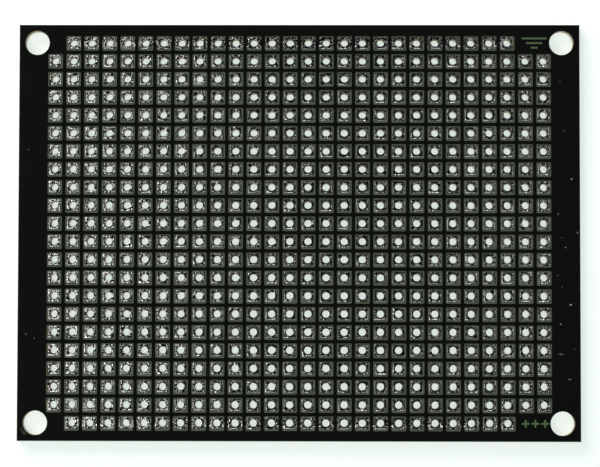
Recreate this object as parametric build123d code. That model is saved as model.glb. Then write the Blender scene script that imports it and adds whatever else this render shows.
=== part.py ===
from build123d import *
import os

# A single-sided prototype board lying on its back with the pads up.
# A glass-epoxy laminate carries 22 rows of square copper pads, tinned and unplated in their holes.
# The first and the last row are joined into buses, and solder mask coats both faces.
# Lengths are in millimetres. The origin is the middle of the underside, X runs along the rows.

# Pad grid
PITCH = 2.54
COLUMNS = 28
ROWS = 22
BUS_BARE_LEFT = 1
BUS_BARE_RIGHT = 2

# Board outline, measured from the outermost pad centres
SIDE_MARGIN = 5.08
END_MARGIN = 2.54

# Layers
LAMINATE_THICKNESS = 1.5
FOIL_THICKNESS = 0.035
TIN_THICKNESS = 0.045
MASK_OVER_FOIL = 0.015
BACK_MASK_THICKNESS = 0.025

# Holes
LEAD_HOLE_DIAMETER = 1.0
MOUNT_HOLE_DIAMETER = 3.4
MOUNT_HOLE_INSET = 2.54

# Mask openings and what they leave
MASK_WEB = 0.46
MASK_RELIEF = 0.24
BACK_MASK_RELIEF = 0.1

# Tracks of the two buses
BUS_TRACK_WIDTH = 1.0

# Sizes that follow
BOARD_LENGTH = (COLUMNS - 1) * PITCH + 2 * SIDE_MARGIN
BOARD_WIDTH = (ROWS - 1) * PITCH + 2 * END_MARGIN
OPENING_SIDE = PITCH - MASK_WEB
PAD_SIDE = OPENING_SIDE - 2 * MASK_RELIEF
PAD_THICKNESS = FOIL_THICKNESS + TIN_THICKNESS
MASK_THICKNESS = FOIL_THICKNESS + MASK_OVER_FOIL
LAMINATE_BOTTOM = BACK_MASK_THICKNESS
LAMINATE_TOP = LAMINATE_BOTTOM + LAMINATE_THICKNESS
LEAD_HOLE_RADIUS = LEAD_HOLE_DIAMETER / 2
MOUNT_HOLE_RADIUS = MOUNT_HOLE_DIAMETER / 2
FIRST_ROW = 0
LAST_ROW = ROWS - 1
ON_LAMINATE = (Align.CENTER, Align.CENTER, Align.MIN)


def column_x(column):
    return (column - (COLUMNS - 1) / 2) * PITCH


def row_y(row):
    return ((ROWS - 1) / 2 - row) * PITCH


def columns_of(row):
    # The bus rows stop short of the mounting holes, and leave room for a sign at the right.
    if row in (FIRST_ROW, LAST_ROW):
        return range(BUS_BARE_LEFT, COLUMNS - BUS_BARE_RIGHT)
    return range(COLUMNS)


def pad_centres():
    return [(column_x(column), row_y(row)) for row in range(ROWS) for column in columns_of(row)]


def mount_centres():
    x = BOARD_LENGTH / 2 - MOUNT_HOLE_INSET
    y = BOARD_WIDTH / 2 - MOUNT_HOLE_INSET
    return [(-x, -y), (x, -y), (-x, y), (x, y)]


def circle_wire(centre, radius):
    x, y = centre
    return Wire.make_circle(radius, Plane((x, y, 0)))


def square_wire(centre, side):
    x, y = centre
    half = side / 2
    corners = [(x - half, y - half), (x + half, y - half), (x + half, y + half), (x - half, y + half)]
    return Wire.make_polygon(corners, close=True)


def mount_hole_wires():
    return [circle_wire(centre, MOUNT_HOLE_RADIUS) for centre in mount_centres()]


def board_sheet(inner_wires, thickness):
    # One layer of the board, from its outline and everything that is cut through it.
    outline = Rectangle(BOARD_LENGTH, BOARD_WIDTH).wire()
    return extrude(Face(outline, inner_wires + mount_hole_wires()), thickness)


def laminate():
    lead_holes = [circle_wire(centre, LEAD_HOLE_RADIUS) for centre in pad_centres()]
    return Pos(0, 0, LAMINATE_BOTTOM) * board_sheet(lead_holes, LAMINATE_THICKNESS)


def solder_mask_back():
    radius = LEAD_HOLE_RADIUS + BACK_MASK_RELIEF
    lead_holes = [circle_wire(centre, radius) for centre in pad_centres()]
    return board_sheet(lead_holes, BACK_MASK_THICKNESS)


def solder_mask_front():
    # A square window over each pad, and a groove underneath for the track of each bus.
    windows = [square_wire(centre, OPENING_SIDE) for centre in pad_centres()]
    sheet = board_sheet(windows, MASK_THICKNESS)
    grooves = [bus_track(row) for row in (FIRST_ROW, LAST_ROW)]
    return Pos(0, 0, LAMINATE_TOP) * (sheet - grooves)


def bus_span(row):
    columns = columns_of(row)
    return column_x(columns[0]), column_x(columns[-1])


def bus_track(row):
    # The bare foil strip that runs from the first pad of a bus row to its last, under the mask.
    left, right = bus_span(row)
    strip = Box(right - left, BUS_TRACK_WIDTH, FOIL_THICKNESS, align=ON_LAMINATE)
    return Pos((left + right) / 2, row_y(row), 0) * strip


def pad():
    # A square land with its lead hole. The hole goes through the foil and the tin alike.
    land = square_wire((0, 0), PAD_SIDE)
    hole = circle_wire((0, 0), LEAD_HOLE_RADIUS)
    return extrude(Face(land, [hole]), PAD_THICKNESS)


def pad_row(row):
    one_pad = pad()
    return Compound([Pos(column_x(column), row_y(row), LAMINATE_TOP) * one_pad for column in columns_of(row)])


def bus(row):
    # The lands, the track between them, and the tin on the track where a window lays it bare.
    columns = columns_of(row)
    land = Box(PAD_SIDE, PAD_SIDE, PAD_THICKNESS, align=ON_LAMINATE)
    tinned_track = Box(OPENING_SIDE, BUS_TRACK_WIDTH, PAD_THICKNESS, align=ON_LAMINATE)
    end_track = Box(OPENING_SIDE / 2, BUS_TRACK_WIDTH, PAD_THICKNESS, align=ON_LAMINATE)
    hole = Cylinder(LEAD_HOLE_RADIUS, PAD_THICKNESS, align=ON_LAMINATE)
    places = [Pos(column_x(column), row_y(row), 0) for column in columns]
    copper = [place * land for place in places]
    copper += [place * tinned_track for place in places[1:-1]]
    copper.append(places[0] * Pos(OPENING_SIDE / 4, 0, 0) * end_track)
    copper.append(places[-1] * Pos(-OPENING_SIDE / 4, 0, 0) * end_track)
    joined = bus_track(row).fuse(*copper)
    return Pos(0, 0, LAMINATE_TOP) * (joined - [place * hole for place in places])


def nodes():
    parts = {
        "laminate": laminate(),
        "solder_mask_front": solder_mask_front(),
        "solder_mask_back": solder_mask_back(),
        "ground_bus": bus(FIRST_ROW),
        "supply_bus": bus(LAST_ROW),
    }
    for row in range(FIRST_ROW + 1, LAST_ROW):
        parts[f"pad_row_{row + 1:02d}"] = pad_row(row)
    return parts


os.makedirs("parts", exist_ok=True)
for name, shape in nodes().items():
    export_step(shape, f"parts/{name}.step")
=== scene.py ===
import random
from math import cos, hypot, pi, radians, sin, sqrt

import bmesh
import bpy
from mathutils import Euler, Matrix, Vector
from mathutils.geometry import delaunay_2d_cdt


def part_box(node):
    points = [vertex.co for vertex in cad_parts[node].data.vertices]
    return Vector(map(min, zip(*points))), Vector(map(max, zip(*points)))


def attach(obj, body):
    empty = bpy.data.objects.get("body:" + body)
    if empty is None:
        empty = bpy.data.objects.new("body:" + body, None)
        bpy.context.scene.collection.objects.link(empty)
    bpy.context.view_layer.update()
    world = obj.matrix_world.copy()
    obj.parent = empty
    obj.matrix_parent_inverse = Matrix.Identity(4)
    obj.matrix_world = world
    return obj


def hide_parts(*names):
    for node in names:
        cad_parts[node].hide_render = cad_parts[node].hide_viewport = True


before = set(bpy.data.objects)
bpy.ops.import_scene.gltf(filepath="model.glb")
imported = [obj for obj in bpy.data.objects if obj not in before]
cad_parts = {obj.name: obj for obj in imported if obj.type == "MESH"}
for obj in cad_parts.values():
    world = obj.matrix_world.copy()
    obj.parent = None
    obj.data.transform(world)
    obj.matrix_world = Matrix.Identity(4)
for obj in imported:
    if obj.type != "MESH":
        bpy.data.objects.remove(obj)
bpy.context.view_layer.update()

# Lengths are in metres. The board lies pads up, X runs along the rows and the first row is at +Y.
MM = 0.001

# Pad grid
COLUMNS = 28
ROWS = 22

# Sizes read from the frame
LAMINATE_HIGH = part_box("laminate")[1]
MASK_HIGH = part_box("solder_mask_front")[1]
ROW_LOW, ROW_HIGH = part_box("pad_row_02")
BUS_LOW, BUS_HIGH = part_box("ground_bus")
PAD_SIDE = ROW_HIGH.y - ROW_LOW.y
PITCH = (ROW_HIGH.x - ROW_LOW.x - PAD_SIDE) / (COLUMNS - 1)
BUS_BARE_LEFT = round((BUS_LOW.x - ROW_LOW.x) / PITCH)
BUS_BARE_RIGHT = round((ROW_HIGH.x - BUS_HIGH.x) / PITCH)
LAMINATE_TOP = LAMINATE_HIGH.z
MASK_TOP = MASK_HIGH.z
PAD_TOP = ROW_HIGH.z

# Holes
LEAD_HOLE_RADIUS = 0.5 * MM
MOUNT_HOLE_RADIUS = 1.7 * MM
MOUNT_HOLE_INSET = 2.54 * MM

# Front coat: a sheet with a rolled lip, printed a little off the grid and short of two edges
OPENING_SIDE = 2.05 * MM
OPENING_CORNER = 0.16 * MM
MASK_LIP = 0.02 * MM
LIP_DROP = 0.008 * MM
MASK_SHIFT = (0.01 * MM, -0.06 * MM)
MASK_SHORT = 0.07 * MM

# Polarity signs that stand in the front coat at the right-hand end of each bus
SIGN_CENTRE_X = 33.0 * MM
SIGN_HEIGHT = 1.58 * MM
SIGN_STROKE = 0.28 * MM
PLUS_SIZE = 1.1 * MM
PLUS_PITCH = 1.35 * MM
EARTH_BARS = (3.6 * MM, 2.3 * MM, 1.0 * MM)

# Tin of a pad. A level is a part of its thickness, and a share runs from the lead hole to its edge
PAD_SPREAD = 0.07 * MM
PAD_CORNER = 0.08 * MM
TIN_INNER_STEPS = ((0.0, 0.0), (0.01, 0.8), (0.05, 0.93), (0.12, 0.97), (0.5, 1.0))
RIM_SHARE = 0.95
RIM_LEVEL = 0.96
RIM_LEAD_IN = 0.04
RIM_LEAD_IN_LEVEL = 0.99
SLOPE_SHARE = 0.85
FOOT_LEVEL = 0.85
FOOT_SINKS = 0.7
TOE_LEVEL = 0.6
LUMPY_ABOVE = 0.6

# Chance in a pad's tin: mean and spread of an angle in radians, and lowest and highest of the rest
HIGH_SIDE = (-0.8, 0.9)
LEAN = (0.05, 0.3)
WAVE = (0.0, 0.22)
NEAR_SLACK = (0.1, 0.4)
LEFT_SLACK = (-0.15, 0.3)
LUMPS = (0.95, 1.05)
TIN_SEED = 11

# Tracks of the two buses
TRACK_WIDTH = 1.0 * MM
TRACK_HEIGHT = 0.04025 * MM
TRACK_TUCK = 0.05 * MM
TRACK_ROUNDNESS = 0.4

# How the front coat is filled: triangles over its whole hull, points closer than this merged
OVER_HULL = 0
MERGED_WITHIN = 1e-9

# Steps along curves
CORNER_STEPS = 4
CIRCLE_STEPS = 48
PAD_SECTORS = 24
TRACK_STEPS = 6

# Faces whose normals are as upright as this stay flat shaded
UPRIGHT = 0.9999

# Finish of the laminate
FACE_DARK = (0.06, 0.082, 0.047)
FACE_PALE = (0.1, 0.124, 0.078)
FACE_IN_SIGNS = (0.08, 0.145, 0.055)
# Cut walls: the pale colour of cut glass-epoxy, lightened further as a painted glow of light passing
# through the laminate
CUT_AND_GLOW_DARK = (0.34, 0.27, 0.14)
CUT_AND_GLOW_PALE = (0.54, 0.45, 0.26)
YARN = 0.45 * MM
CLOUD_SIZE = 1.5 * MM
FIBRE_SIZE = 0.12 * MM
FIBRE_STRETCH = (1, 1, 9)
FLAT_RANGE = (0.5, 0.9)
LAMINATE_ROUGHNESS = 0.55
WEAVE_SHARE = 0.5
WEAVE_DEPTH = 0.01 * MM
SIGNS_LEFT = SIGN_CENTRE_X - 2.4 * MM
SIGNS_FADE = 0.2 * MM
SIGNS_BELOW_ROW = 0.9 * MM
SIGNS_ROW_FADE = 0.1 * MM

# Finish of both coats
COAT_BLACK = (0.0045, 0.0052, 0.0048)
COAT_ROUGHNESS = 0.05
COAT_SWELL = 2.0 * MM
SWELL_ROUGHNESS = 0.03
SWELL_SHARE = 0.4
RIDGE_SHARE = 0.5
RIDGE_FOOT = 0.08 * MM
RIDGE_SHOULDER = 0.02 * MM
RIDGE_END = PITCH / 4
COAT_RELIEF = 0.03 * MM
DUST_GREY = (0.3, 0.3, 0.28)
DUST_ROUGHNESS = 0.4
DUST_GRAIN = 0.25 * MM
DUST_GRAIN_RANGE = (0.3, 0.55)
FLECK_EDGE = (1.5, 0.5)

# Flecks of dust and one scuff on the coat: place in mm, length and width in mm, turn in degrees, strength
FLECKS = (
    (36.6, 21.2, 0.25, 0.2, 0, 0.25),
    (37.2, 14.3, 0.25, 0.2, 0, 0.35),
    (38.2, 7.5, 0.25, 0.25, 0, 0.8),
    (36.3, 2.6, 0.25, 0.2, 90, 0.5),
    (39.0, 0.0, 0.25, 0.25, 0, 0.8),
    (37.3, -2.1, 0.25, 0.2, 45, 0.7),
    (36.8, -0.7, 0.3, 0.15, 20, 0.3),
    (36.2, -6.0, 0.25, 0.15, 0, 0.3),
    (36.8, -7.6, 0.25, 0.2, 0, 0.3),
    (38.0, -10.1, 0.35, 0.25, 10, 1.0),
    (36.6, -12.8, 0.25, 0.25, 0, 0.7),
    (36.6, -17.0, 0.75, 0.16, -8, 0.6),
    (37.8, -20.5, 0.5, 0.18, 5, 0.5),
    (38.5, -16.3, 0.25, 0.15, 0, 0.3),
    (-38.0, 11.6, 0.3, 0.15, 15, 0.4),
    (-38.2, -14.3, 0.4, 0.15, -40, 0.35),
    (-37.0, -14.9, 0.2, 0.15, 0, 0.35),
    (-38.5, -27.9, 1.3, 0.4, -50, 0.16),
)

# Finish of the tin
TIN_BRIGHT = (0.9, 0.9, 0.87)
TIN_DULL = (0.6, 0.6, 0.57)
# Near-black colour of the pits in the tin
PIT_DARK = (0.015, 0.015, 0.014)
RIPPLE_SIZE = 0.35 * MM
RIPPLE_SHARE = 0.9
CRYSTAL_SIZE = 0.13 * MM
PIT_SIZE = 0.17 * MM
PIT_RANGE = (0.58, 0.54)
RIM_RANGE = (0.56 * MM, 0.66 * MM)
RIM_PIT_LOSS = 0.06
DULL_SIZE = 0.8 * MM
DULL_RANGE = (0.4, 0.65)
TIN_ROUGHNESS = 0.1
DULL_ROUGHNESS = 0.12
TIN_RELIEF = 0.03 * MM

# Table under the board. The gap keeps its face and the back coat from lying in one plane
TABLE_SIDE = 1.2
TABLE_GAP = 0.02 * MM
TABLE_GREY = (0.5, 0.5, 0.5, 1)
TABLE_ROUGHNESS = 0.8
TABLE_GLOW = (0.61, 0.69, 0.66, 1)

# Lights: name, place, width along the horizon and height towards the zenith, watts, shown in gloss
LIGHTS = (
    ("far_left_softbox", (-0.42, 0.56, 0.35), (0.8, 0.45), 7.8, False),
    ("left_strip", (-0.118, 0.0, 0.3), (0.3, 0.045), 0.15, True),
    ("right_strip", (0.13, 0.0, 0.3), (0.3, 0.03), 0.07, True),
    ("near_strip", (0.0, -0.2, 0.3), (0.4, 0.04), 0.27, True),
)
STUDIO_DIM = (0.03, 0.032, 0.028, 1)

# Camera
CAMERA_DISTANCE = 0.3346
CAMERA_TARGET = (0.144 * MM, -0.084 * MM, 0)
CAMERA_TURN = (radians(2.985), radians(0.583), radians(0.094))
CAMERA_LENS = 142.67
SENSOR_WIDTH = 36
NEAR_CLIP = 0.01


def row_y(row):
    return ((ROWS - 1) / 2 - row) * PITCH


def column_x(column):
    return (column - (COLUMNS - 1) / 2) * PITCH


def is_bus(row):
    return row in (0, ROWS - 1)


def columns_of(row):
    return range(BUS_BARE_LEFT, COLUMNS - BUS_BARE_RIGHT) if is_bus(row) else range(COLUMNS)


def pad_centres():
    return [(column_x(column), row_y(row)) for row in range(ROWS) for column in columns_of(row)]


def mount_centres():
    x = LAMINATE_HIGH.x - MOUNT_HOLE_INSET
    y = LAMINATE_HIGH.y - MOUNT_HOLE_INSET
    return [(-x, -y), (x, -y), (-x, y), (x, y)]


class Field:
    """A value in a shader: one socket, with the arithmetic that node maths gives it."""

    def __init__(self, shader, socket):
        self.shader = shader
        self.socket = socket

    def maths(self, operation, *values):
        return self.shader.node("ShaderNodeMath", {"operation": operation}, dict(enumerate(values)))

    def __add__(self, other):
        return self.maths("ADD", self, other)

    def __radd__(self, other):
        return self.maths("ADD", other, self)

    def __sub__(self, other):
        return self.maths("SUBTRACT", self, other)

    def __rsub__(self, other):
        return self.maths("SUBTRACT", other, self)

    def __mul__(self, other):
        return self.maths("MULTIPLY", self, other)

    def __rmul__(self, other):
        return self.maths("MULTIPLY", other, self)

    def __truediv__(self, other):
        return self.maths("DIVIDE", self, other)

    def __rtruediv__(self, other):
        return self.maths("DIVIDE", other, self)

    def __abs__(self):
        return self.maths("ABSOLUTE", self)

    def larger(self, other):
        return self.maths("MAXIMUM", self, other)

    def wrapped(self, pitch):
        """The same value folded back into one pitch, from minus a half to plus a half."""
        return self.maths("WRAP", self, pitch / 2, -pitch / 2)

    def sine(self):
        return self.maths("SINE", self)

    def ramp(self, low, high):
        """0 below low and 1 above high, smooth between them. High may be the smaller one."""
        settings = {"interpolation_type": "SMOOTHSTEP"}
        sockets = {"Value": self, "From Min": low, "From Max": high}
        return self.shader.node("ShaderNodeMapRange", settings, sockets)


class Shader:
    """A material with one principled shader, whose inputs take plain values or fields."""

    def __init__(self, name):
        self.material = bpy.data.materials.new(name)
        self.material.use_nodes = True
        self.tree = self.material.node_tree
        self.principled = self.tree.nodes["Principled BSDF"]

    def node(self, kind, settings, sockets, output=0):
        made = self.tree.nodes.new(kind)
        for name, value in settings.items():
            setattr(made, name, value)
        for key, value in sockets.items():
            self.feed(made.inputs[key], value)
        return Field(self, made.outputs[output])

    def feed(self, socket, value):
        if isinstance(value, Field):
            self.tree.links.new(value.socket, socket)
        else:
            socket.default_value = value

    def surface(self, **inputs):
        for name, value in inputs.items():
            self.feed(self.principled.inputs[name.replace("_", " ").title()], value)

    def place(self):
        """The place on the object, as one vector in metres."""
        return self.node("ShaderNodeTexCoord", {}, {}, "Object")

    def plan(self):
        """The place on the object, as X and Y in metres."""
        place = self.place()
        return [self.node("ShaderNodeSeparateXYZ", {}, {"Vector": place}, axis) for axis in "XY"]

    def facing(self):
        """How far the surface looks up or down: the Z part of its normal."""
        normal = self.node("ShaderNodeNewGeometry", {}, {}, "Normal")
        return self.node("ShaderNodeSeparateXYZ", {}, {"Vector": normal}, "Z")

    def noise(self, size, detail, stretch=(1, 1, 1)):
        """Noise from 0 to 1 whose features are about that size in metres."""
        vectors = {0: self.place(), 1: stretch}
        scaled = self.node("ShaderNodeVectorMath", {"operation": "MULTIPLY"}, vectors)
        sockets = {"Vector": scaled, "Scale": 1 / size, "Detail": detail}
        return self.node("ShaderNodeTexNoise", {}, sockets)

    def fleck(self, centre, length, width, turn):
        """1 inside an oval at that centre and 0 outside it, with a soft edge."""
        x, y = self.plan()
        c, s = cos(radians(turn)), sin(radians(turn))
        along = ((x - centre[0]) * c + (y - centre[1]) * s) / (length / 2)
        across = ((y - centre[1]) * c - (x - centre[0]) * s) / (width / 2)
        return (along * along + across * across).ramp(*FLECK_EDGE)

    def mix(self, share, first, second):
        """A colour that goes from first to second as share goes from 0 to 1."""
        sockets = {"Factor": share, 6: (*first, 1) if isinstance(first, tuple) else first}
        sockets[7] = (*second, 1) if isinstance(second, tuple) else second
        return self.node("ShaderNodeMix", {"data_type": "RGBA"}, sockets, 2)

    def bump(self, height, distance):
        return self.node("ShaderNodeBump", {}, {"Height": height, "Distance": distance})


def laminate_material():
    """Glass-epoxy: olive and faintly woven on its faces, greener in the signs, pale where it is cut and
    lightened further there as a painted glow of light passing through the laminate.
    """
    shader = Shader("glass_epoxy")
    x, y = shader.plan()
    weave = (x * (2 * pi / YARN)).sine() * (y * (2 * pi / YARN)).sine()
    cloudy = shader.noise(CLOUD_SIZE, detail=3)
    signs_low = row_y(0) - SIGNS_BELOW_ROW
    beside_bus = abs(y).ramp(signs_low - SIGNS_ROW_FADE, signs_low)
    in_signs = beside_bus * x.ramp(SIGNS_LEFT - SIGNS_FADE, SIGNS_LEFT)
    face = shader.mix(in_signs, shader.mix(cloudy, FACE_DARK, FACE_PALE), FACE_IN_SIGNS)
    fibres = shader.noise(FIBRE_SIZE, detail=2, stretch=FIBRE_STRETCH)
    # Walls: partly the cut's own pale colour, partly a painted glow of light passing through the laminate
    wall = shader.mix(fibres, CUT_AND_GLOW_DARK, CUT_AND_GLOW_PALE)
    flat = abs(shader.facing()).ramp(*FLAT_RANGE)
    shader.surface(base_color=shader.mix(flat, wall, face), roughness=LAMINATE_ROUGHNESS)
    shader.surface(normal=shader.bump(weave * WEAVE_SHARE + cloudy, WEAVE_DEPTH))
    return shader.material


def bus_ridges(shader):
    """1 over the track of either bus and 0 beside it."""
    x, y = shader.plan()
    track_half = TRACK_WIDTH / 2
    from_bus = abs(abs(y) - row_y(0))
    over_track = from_bus.ramp(track_half + RIDGE_FOOT, track_half - RIDGE_SHOULDER)
    bus_half = (BUS_HIGH.x - BUS_LOW.x) / 2
    from_middle = abs(x - (BUS_LOW.x + BUS_HIGH.x) / 2)
    return over_track * from_middle.ramp(bus_half, bus_half - RIDGE_END)


def dust_on_coat(shader):
    """How much dust lies at each place, broken up by a fine grain."""
    dust = 0.0
    for x, y, length, width, turn, strength in FLECKS:
        dust = dust + shader.fleck((x * MM, y * MM), length * MM, width * MM, turn) * strength
    return dust * shader.noise(DUST_GRAIN, detail=1).ramp(*DUST_GRAIN_RANGE)


def mask_material():
    """Black solder mask: not quite level, raised over the tracks of both buses, with dust on it."""
    shader = Shader("black_mask")
    ridges = bus_ridges(shader)
    swell = shader.noise(COAT_SWELL, detail=2)
    dust = dust_on_coat(shader)
    shader.surface(base_color=shader.mix(dust, COAT_BLACK, DUST_GREY))
    shader.surface(roughness=COAT_ROUGHNESS + swell * SWELL_ROUGHNESS + dust * DUST_ROUGHNESS)
    shader.surface(normal=shader.bump(ridges * RIDGE_SHARE + swell * SWELL_SHARE, COAT_RELIEF))
    return shader.material


def tin_material():
    """Dipped tin: bright metal, crumpled and pitted from cooling, near black in the pits, which are fewer
    towards its edge.
    """
    shader = Shader("dipped_tin")
    ripples = shader.noise(RIPPLE_SIZE, detail=2)
    crystals = shader.noise(CRYSTAL_SIZE, detail=1)
    x, y = shader.plan()
    from_middle = abs((x + PITCH / 2).wrapped(PITCH)).larger(abs((y + PITCH / 2).wrapped(PITCH)))
    rim = from_middle.ramp(*RIM_RANGE)
    # Pits: near-black spots of colour, fewer towards the pad's edge
    pits = (shader.noise(PIT_SIZE, detail=1) + rim * RIM_PIT_LOSS).ramp(*PIT_RANGE)
    dull = shader.noise(DULL_SIZE, detail=2).ramp(*DULL_RANGE)
    metal = shader.mix(dull, TIN_BRIGHT, TIN_DULL)
    shader.surface(base_color=shader.mix(pits, metal, PIT_DARK), metallic=1.0)
    shader.surface(roughness=TIN_ROUGHNESS + dull * DULL_ROUGHNESS)
    shader.surface(normal=shader.bump(ripples * RIPPLE_SHARE + crystals, TIN_RELIEF))
    return shader.material


def table_material():
    """A plain white table that glows a little, as a light table does."""
    shader = Shader("white_table")
    shader.surface(base_color=TABLE_GREY, roughness=TABLE_ROUGHNESS)
    shader.surface(emission_color=TABLE_GLOW, emission_strength=1.0)
    return shader.material


def add_object(name, bm, material):
    """Make an object of that mesh, smooth but for the faces that lie level."""
    mesh = bpy.data.meshes.new(name)
    bmesh.ops.recalc_face_normals(bm, faces=bm.faces)
    bm.to_mesh(mesh)
    bm.free()
    for polygon in mesh.polygons:
        polygon.use_smooth = abs(polygon.normal.z) < UPRIGHT
    mesh.materials.append(material)
    made = bpy.data.objects.new(name, mesh)
    bpy.context.collection.objects.link(made)
    return made


def stand_for(piece, node):
    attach(piece, "root")
    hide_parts(node)


def rounded_square(centre, side, corner):
    """Points around a square with rounded corners, anticlockwise."""
    points = []
    reach = side / 2 - corner
    for quarter, (sx, sy) in enumerate(((1, 1), (-1, 1), (-1, -1), (1, -1))):
        middle_x = centre[0] + sx * reach
        middle_y = centre[1] + sy * reach
        for step in range(CORNER_STEPS):
            angle = (quarter + step / (CORNER_STEPS - 1)) * pi / 2
            points.append((middle_x + corner * cos(angle), middle_y + corner * sin(angle)))
    return points


def circle(centre, radius):
    turns = [2 * pi * step / CIRCLE_STEPS for step in range(CIRCLE_STEPS)]
    return [(centre[0] + radius * cos(turn), centre[1] + radius * sin(turn)) for turn in turns]


def rectangle(centre, width, height):
    x, y = centre
    return [(x + sx * width / 2, y + sy * height / 2) for sx, sy in ((1, 1), (-1, 1), (-1, -1), (1, -1))]


def plus_outline(centre):
    arm = PLUS_SIZE / 2
    half = SIGN_STROKE / 2
    quarter = [(arm, -half), (arm, half), (half, half)]
    points = []
    for turn in range(4):
        c, s = round(cos(turn * pi / 2)), round(sin(turn * pi / 2))
        points += [(centre[0] + c * x - s * y, centre[1] + s * x + c * y) for x, y in quarter]
    return points


def sign_outlines():
    """Three plus signs for the supply bus, and the bars of an earth sign for the ground bus."""
    supply_y = row_y(ROWS - 1)
    shapes = [plus_outline((SIGN_CENTRE_X + step * PLUS_PITCH, supply_y)) for step in (-1, 0, 1)]
    gap = (SIGN_HEIGHT - SIGN_STROKE) / (len(EARTH_BARS) - 1)
    top = row_y(0) + (SIGN_HEIGHT - SIGN_STROKE) / 2
    for step, width in enumerate(EARTH_BARS):
        shapes.append(rectangle((SIGN_CENTRE_X, top - step * gap), width, SIGN_STROKE))
    return shapes


def pulled(loop, distance):
    """The same loop, each point moved outwards by about that distance along the loop's normal."""
    moved = []
    count = len(loop)
    for index, (x, y) in enumerate(loop):
        before = loop[index - 1]
        after = loop[(index + 1) % count]
        dx = after[0] - before[0]
        dy = after[1] - before[1]
        run = hypot(dx, dy)
        moved.append((x + dy / run * distance, y - dx / run * distance))
    return moved


def skin(bm, first, last):
    """Quads between two runs of vertices of the same length."""
    for step in range(len(first) - 1):
        bm.faces.new((first[step], first[step + 1], last[step + 1], last[step]))


def closed(loop):
    """The same loop as a run that starts and ends at its last point."""
    return loop[-1:] + loop


def coat_holes():
    """What the front coat leaves open: a window over each pad, the mounting holes and the signs."""
    dx, dy = MASK_SHIFT
    holes = [rounded_square((x + dx, y + dy), OPENING_SIDE, OPENING_CORNER) for x, y in pad_centres()]
    holes += [circle(centre, MOUNT_HOLE_RADIUS) for centre in mount_centres()]
    return holes + sign_outlines()


def coat_edge(inset):
    """The outline of the front coat. It stops just short of the left and near edges of the board."""
    middle = (MASK_SHORT / 2, MASK_SHORT / 2)
    width = 2 * MASK_HIGH.x - MASK_SHORT
    height = 2 * MASK_HIGH.y - MASK_SHORT
    return rectangle(middle, width - 2 * inset, height - 2 * inset)


def coat_top(bm, loops):
    """Fill the sheet between its outline, the first loop, and its holes. Gives each loop's vertices."""
    points = []
    outlines = []
    for loop in loops:
        outlines.append(list(range(len(points), len(points) + len(loop))))
        points += [Vector(point) for point in loop]
    flat, _, triangles, origin, _, inside = delaunay_2d_cdt(points, [], outlines, OVER_HULL, MERGED_WITHIN)
    top = [bm.verts.new((point.x, point.y, MASK_TOP)) for point in flat]
    at_point = {sources[0]: vertex for vertex, sources in zip(top, origin) if sources}
    for triangle, sources in zip(triangles, inside):
        if sources == [0]:
            bm.faces.new([top[index] for index in triangle])
    return [[at_point[index] for index in outline] for outline in outlines]


def front_coat(material):
    """The front coat: a level top, a rolled lip round each outline and a wall down to the laminate."""
    holes = coat_holes()
    outer = [coat_edge(0)] + holes
    bm = bmesh.new()
    uppers = coat_top(bm, [coat_edge(MASK_LIP)] + [pulled(hole, MASK_LIP) for hole in holes])
    for upper, loop in zip(uppers, outer):
        for height in (MASK_TOP - LIP_DROP, LAMINATE_TOP):
            lower = [bm.verts.new((x, y, height)) for x, y in loop]
            skin(bm, closed(upper), closed(lower))
            upper = lower
    piece = add_object("front_coat", bm, material)
    stand_for(piece, "solder_mask_front")


def square_reach(angle, side, corner):
    """How far the outline of a square with clipped corners is from its middle in that direction."""
    half = side / 2
    plain = half / max(abs(cos(angle)), abs(sin(angle)))
    return min(plain, half * sqrt(2) - corner * (sqrt(2) - 1))


def pad_section(slack):
    """Steps from the lead hole, 0, to the edge, 1, with their levels. Slack widens the outer slope."""
    rim = RIM_SHARE - slack
    foot = FOOT_LEVEL - slack * FOOT_SINKS
    slope_end = rim + (1 - rim) * SLOPE_SHARE
    outer = ((rim - RIM_LEAD_IN, RIM_LEAD_IN_LEVEL), (rim, RIM_LEVEL), (slope_end, foot))
    return TIN_INNER_STEPS + outer + ((1.0, foot * TOE_LEVEL), (1.0, 0.0))


def tin_lie(chance):
    """How the tin of one land lies: its thickness and its outer slack, each by the direction."""
    high_side = chance.gauss(*HIGH_SIDE)
    lean = chance.uniform(*LEAN)
    wave_turn = chance.uniform(0, 2 * pi)
    wave = chance.uniform(*WAVE)
    near_slack = chance.uniform(*NEAR_SLACK)
    left_slack = max(0, chance.uniform(*LEFT_SLACK))

    def swell(angle):
        return 1 - lean * (1 - cos(angle - high_side)) / 2 + wave * cos(2 * angle - wave_turn) / 2

    def slack(angle):
        return near_slack * max(0, -sin(angle)) ** 3 + left_slack * max(0, -cos(angle)) ** 3

    return swell, slack


def tin_column(bm, centre, angle, lie, chance):
    """The vertices of a land in one direction, from the lead hole to the edge."""
    swell, slack = lie
    reach = square_reach(angle, PAD_SIDE + PAD_SPREAD, PAD_CORNER)
    column = []
    for share, level in pad_section(slack(angle)):
        radius = LEAD_HOLE_RADIUS + (reach - LEAD_HOLE_RADIUS) * share
        lump = swell(angle) * chance.uniform(*LUMPS) if level > LUMPY_ABOVE else 1
        top = LAMINATE_TOP + (PAD_TOP - LAMINATE_TOP) * level * lump
        column.append(bm.verts.new((centre[0] + radius * cos(angle), centre[1] + radius * sin(angle), top)))
    return column


def add_pad(bm, centre, chance):
    """One land: tin between the lead hole and the square edge, which slopes most to the near side."""
    lie = tin_lie(chance)
    angles = [2 * pi * sector / PAD_SECTORS for sector in range(PAD_SECTORS)]
    columns = [tin_column(bm, centre, angle, lie, chance) for angle in angles]
    for before, here in zip(closed(columns), columns):
        skin(bm, before, here)


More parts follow.
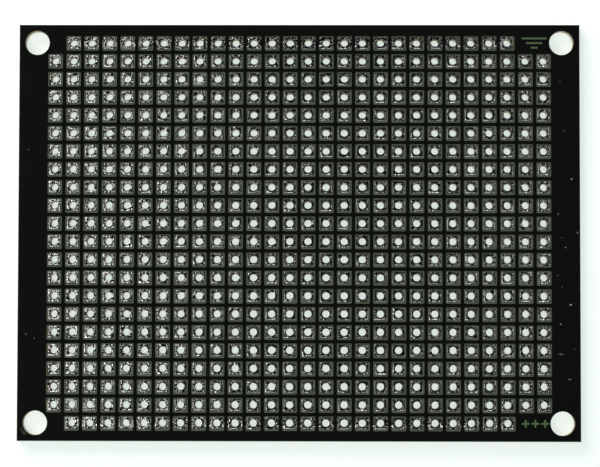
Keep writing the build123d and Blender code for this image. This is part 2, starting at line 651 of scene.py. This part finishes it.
def track_section(row):
    """The track's rounded back, from one side to the other, as Y and Z."""
    section = []
    for step in range(TRACK_STEPS + 1):
        angle = pi * step / TRACK_STEPS
        height = TRACK_HEIGHT * sin(angle) ** TRACK_ROUNDNESS if 0 < step < TRACK_STEPS else 0
        section.append((row_y(row) - cos(angle) * TRACK_WIDTH / 2, LAMINATE_TOP + height))
    return section


def add_track(bm, row):
    """The strips that join a bus: low rounded bars from pad to pad, which dive under the front coat."""
    columns = columns_of(row)
    section = track_section(row)
    for column, following in zip(columns, columns[1:]):
        start = column_x(column) + PAD_SIDE / 2 - TRACK_TUCK
        end = column_x(following) - PAD_SIDE / 2 + TRACK_TUCK
        first = [bm.verts.new((start, y, z)) for y, z in section]
        last = [bm.verts.new((end, y, z)) for y, z in section]
        skin(bm, first, last)


def pad_rows(material):
    chance = random.Random(TIN_SEED)
    for row in range(ROWS):
        bm = bmesh.new()
        for column in columns_of(row):
            add_pad(bm, (column_x(column), row_y(row)), chance)
        if is_bus(row):
            add_track(bm, row)
        node = {0: "ground_bus", ROWS - 1: "supply_bus"}.get(row, f"pad_row_{row + 1:02d}")
        piece = add_object(f"tin_{node}", bm, material)
        stand_for(piece, node)


def dress_cad_nodes(finishes):
    """The laminate and the back coat keep their solids and take a finish."""
    for node, material in finishes.items():
        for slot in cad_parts[node].material_slots:
            slot.material = material


def table():
    bm = bmesh.new()
    outline = rectangle((0, 0), TABLE_SIDE, TABLE_SIDE)
    bm.faces.new([bm.verts.new((x, y, -TABLE_GAP)) for x, y in outline])
    add_object("table", bm, table_material())


def area_light(name, place, size, power, in_gloss):
    """A rectangular light that looks at the middle of the board."""
    data = bpy.data.lights.new(name, "AREA")
    data.shape = "RECTANGLE"
    data.size, data.size_y = size
    data.energy = power
    made = bpy.data.objects.new(name, data)
    made.location = place
    made.rotation_euler = Vector(place).to_track_quat("Z", "Y").to_euler()
    made.visible_glossy = in_gloss
    bpy.context.collection.objects.link(made)


def studio():
    for light in LIGHTS:
        area_light(*light)
    world = bpy.data.worlds.new("studio")
    world.use_nodes = True
    world.node_tree.nodes["Background"].inputs["Color"].default_value = STUDIO_DIM
    bpy.context.scene.world = world
    bpy.context.scene.view_settings.view_transform = "Standard"


def camera():
    data = bpy.data.cameras.new("camera")
    data.lens = CAMERA_LENS
    data.sensor_width = SENSOR_WIDTH
    data.clip_start = NEAR_CLIP
    turn = Euler(CAMERA_TURN, "XYZ")
    made = bpy.data.objects.new("camera", data)
    made.rotation_euler = turn
    made.location = Vector(CAMERA_TARGET) + turn.to_matrix() @ Vector((0, 0, CAMERA_DISTANCE))
    bpy.context.collection.objects.link(made)
    bpy.context.scene.camera = made


mask = mask_material()
dress_cad_nodes({"laminate": laminate_material(), "solder_mask_back": mask})
front_coat(mask)
pad_rows(tin_material())
table()
studio()
camera()
